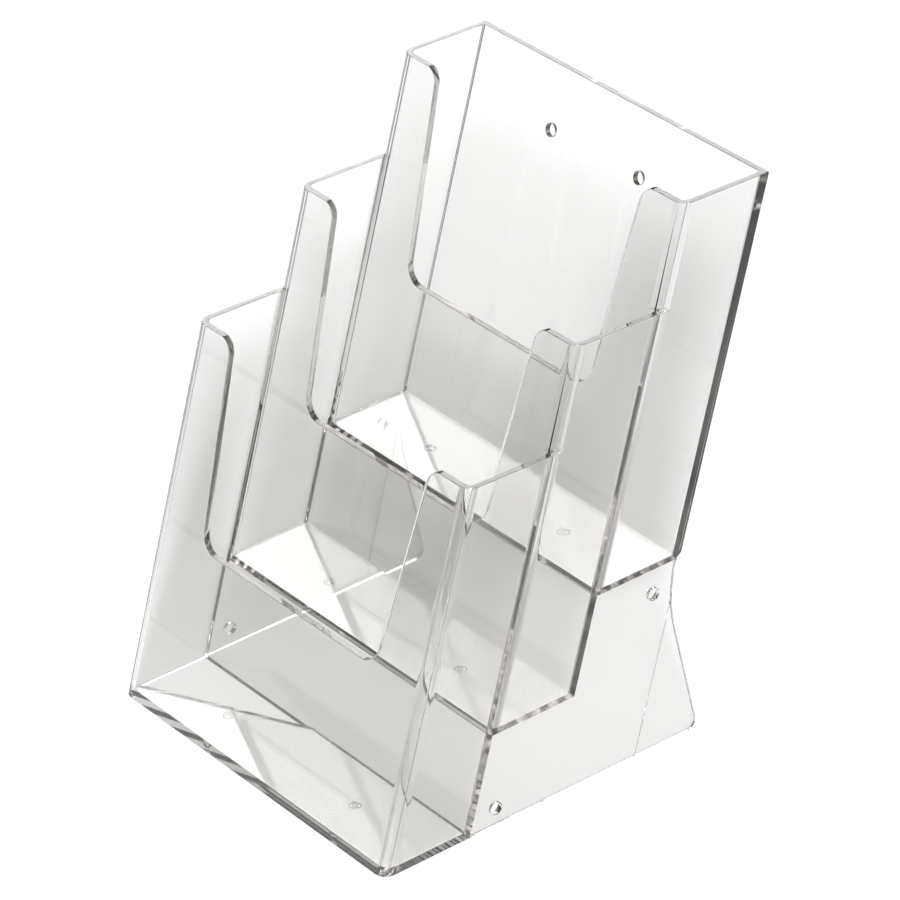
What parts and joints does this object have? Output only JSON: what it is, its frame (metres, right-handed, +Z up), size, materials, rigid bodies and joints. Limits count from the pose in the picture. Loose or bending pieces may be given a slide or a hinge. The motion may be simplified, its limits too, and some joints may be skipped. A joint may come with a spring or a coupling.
{
  "type": "brochure rack",
  "caption": "Clear plastic counter rack with three pockets stepping up and back, finger-scoop fronts, a leaning back panel with screw holes, and stepped side sheets ending in feet",
  "frame": {"origin": "on the ground plane, middle of the bounding box in X and Y", "axes": "+Z up, +X to the right seen from the front, the pocket fronts face -Y"},
  "size_m": [0.16, 0.1838, 0.2162],
  "materials": {
    "clear_plastic": "clear, polished, very light grey"
  },
  "bodies": {
    "root": {"tier_1_front": "clear_plastic", "tier_2_front": "clear_plastic", "tier_3_front": "clear_plastic", "tier_1_floor": "clear_plastic", "tier_2_floor": "clear_plastic", "tier_3_floor": "clear_plastic", "back_panel": "clear_plastic", "left_side": "clear_plastic", "right_side": "clear_plastic"}
  },
  "joints": []
}
